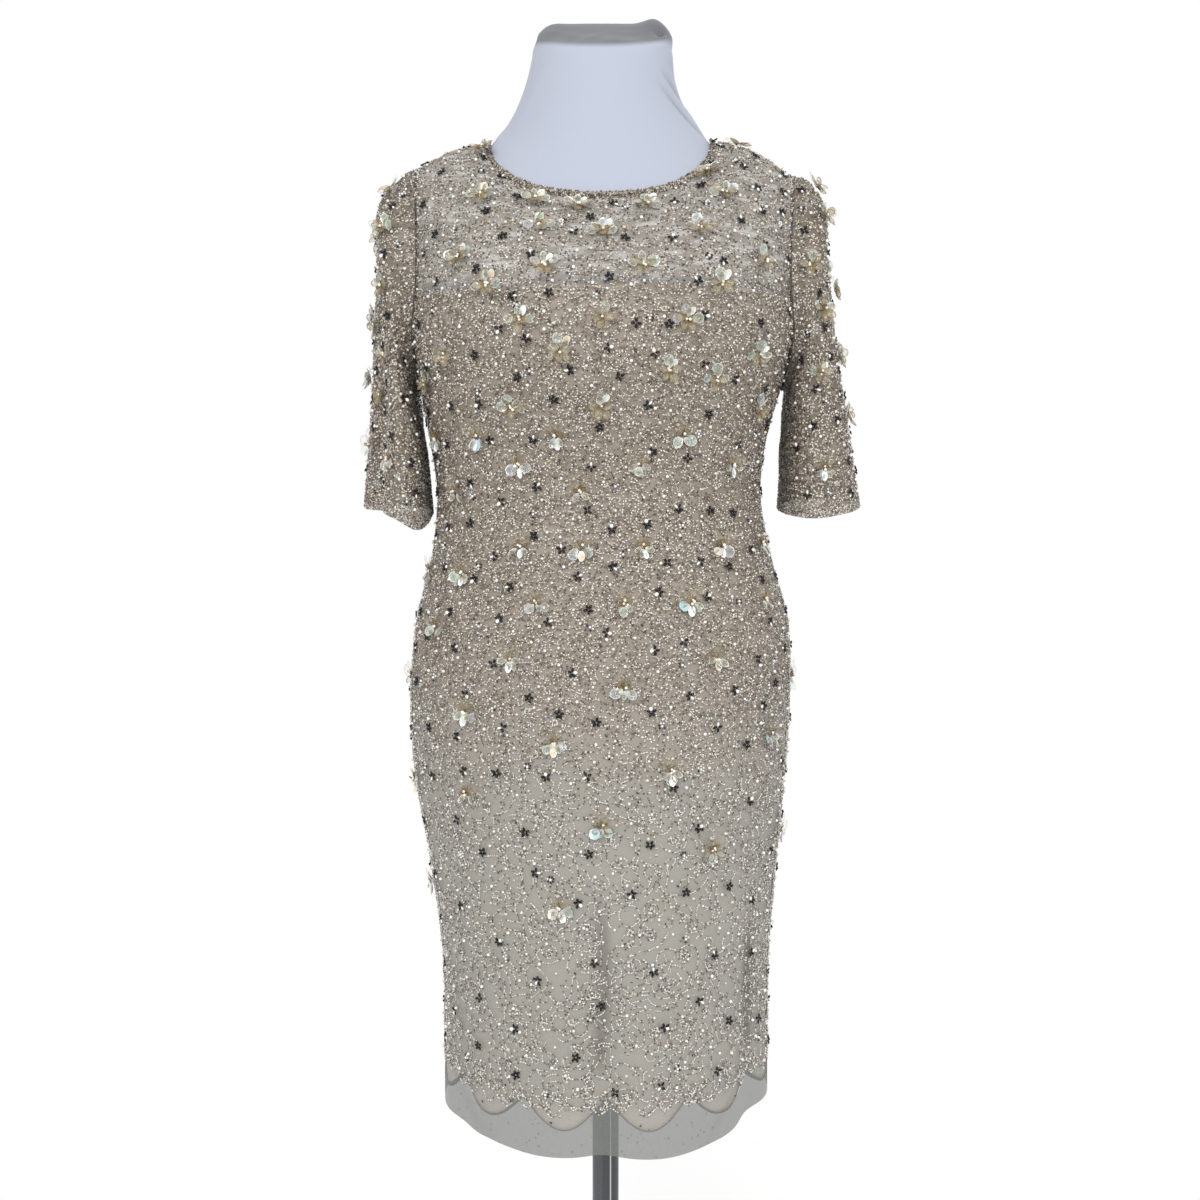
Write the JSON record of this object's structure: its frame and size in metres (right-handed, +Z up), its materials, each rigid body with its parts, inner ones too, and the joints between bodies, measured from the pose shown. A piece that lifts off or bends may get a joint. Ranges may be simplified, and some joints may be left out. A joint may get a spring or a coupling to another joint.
{
  "type": "beaded cocktail dress on a limbless dress form",
  "caption": "Fitted knee-length beaded net dress with round neck, elbow sleeves and nude lining, on a limbless jersey-covered dress form with a pole and round base.",
  "frame": {"origin": "centre of the round base's underside, on the floor", "axes": "+Z up along the pole; the front of the dress faces -Y; +X is the viewer's right when looking at the front"},
  "size_m": [0.5146, 0.4, 1.5685],
  "materials": {
    "beaded_net": "sheer taupe net covered with tiny bugles, beads and sequin flowers",
    "nude_lining": "smooth nude lining with a soft sheen",
    "binding": "narrow taupe bound edge",
    "zip_tape": "woven tape with a fine coil",
    "nickel": "plated metal",
    "jersey": "matt pale lavender-grey knitted cover",
    "steel": "satin grey metal"
  },
  "bodies": {
    "dress_and_form": {"front_panel": "beaded_net", "lining_front": "nude_lining", "back_panel_left": "beaded_net", "lining_back_left": "nude_lining", "sleeve_left": "beaded_net", "back_panel_right": "beaded_net", "lining_back_right": "nude_lining", "sleeve_right": "beaded_net", "zip_tape": "zip_tape", "neck_binding": "binding", "zip_slider": "nickel", "dress_form": "jersey", "stand_pole": "steel", "stand_base": "steel"},
    "pull_tab": {"zip_pull": "nickel"}
  },
  "joints": [
    {"name": "pull_tab_hinge", "type": "hinge", "parent": "dress_and_form", "child": "pull_tab", "pos_m": [-0.00535, 0.08081, 1.39883], "axis": [1, 0, 0], "range_deg": [0, 150]}
  ]
}
